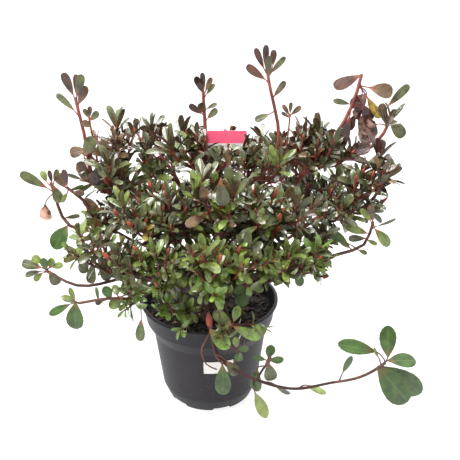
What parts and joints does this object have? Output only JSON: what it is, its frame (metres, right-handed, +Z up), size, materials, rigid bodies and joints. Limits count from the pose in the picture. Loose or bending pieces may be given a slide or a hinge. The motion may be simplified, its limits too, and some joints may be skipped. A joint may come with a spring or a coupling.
{
  "type": "potted azalea shrub",
  "caption": "Evergreen azalea shrub with whorled leaves and a long trailing shoot, growing in a round black plastic nursery pot with a paper sticker and a plant tag.",
  "frame": {"origin": "centre of the pot's underside, on the pad that it stands on", "axes": "+Z up along the pot's axis, +X to the right as seen from the front, and the front towards -Y"},
  "size_m": [0.51, 0.4132, 0.4835],
  "materials": {
    "pot": "satin black nursery plastic, lightly scuffed",
    "soil": "moist dark peat with bark chips",
    "bark": "rough brown bark, redder on young limbs",
    "leaf_dark": "leathery bronze green leaves with a soft gloss",
    "leaf_green": "leathery mid green leaves with a soft gloss",
    "tag": "smooth plain pink sheet with a white lower edge",
    "sticker": "plain white label"
  },
  "bodies": {
    "root": {"pot": "pot", "soil": "soil", "pot_sticker": "sticker", "plant_tag": "tag", "trunk": "bark", "bough_left_high": "bark", "bough_left_low": "bark", "bough_front_left": "bark", "bough_front": "bark", "bough_right_low": "bark", "bough_right_high": "bark", "bough_back_right": "bark", "bough_back_left": "bark", "bough_left_outer": "bark", "bough_left_trailing": "bark", "bough_front_left_low": "bark", "bough_pot_edge": "bark", "bough_front_low": "bark", "bough_front_right": "bark", "bough_front_right_low": "bark", "bough_right_outer": "bark", "bough_centre": "bark", "bough_crown": "bark", "bough_back": "bark", "bough_back_left_low": "bark", "bough_back_low": "bark", "bough_back_right_low": "bark", "bough_front_sprig": "bark", "bough_trailing_upper": "bark", "bough_trailing_lower": "bark", "bough_trailing_spur": "bark", "foliage_trunk": "leaf_green", "foliage_left_high": "leaf_dark", "foliage_left_outer": "leaf_dark", "foliage_left_low": "leaf_green", "foliage_left_trailing": "leaf_green", "foliage_front_left": "leaf_dark", "foliage_front_left_low": "leaf_green", "foliage_pot_edge": "leaf_green", "foliage_front": "leaf_dark", "foliage_front_low": "leaf_green", "foliage_front_right": "leaf_dark", "foliage_front_right_low": "leaf_green", "foliage_right_low": "leaf_green", "foliage_right_outer": "leaf_dark", "foliage_right_high": "leaf_dark", "foliage_centre": "leaf_dark", "foliage_crown": "leaf_dark", "foliage_back_right": "leaf_dark", "foliage_back": "leaf_dark", "foliage_back_left": "leaf_dark", "foliage_back_left_low": "leaf_green", "foliage_back_low": "leaf_green", "foliage_back_right_low": "leaf_green", "foliage_front_sprig": "leaf_green", "foliage_trailing_lower": "leaf_green", "foliage_trailing_spur": "leaf_green"}
  },
  "joints": []
}
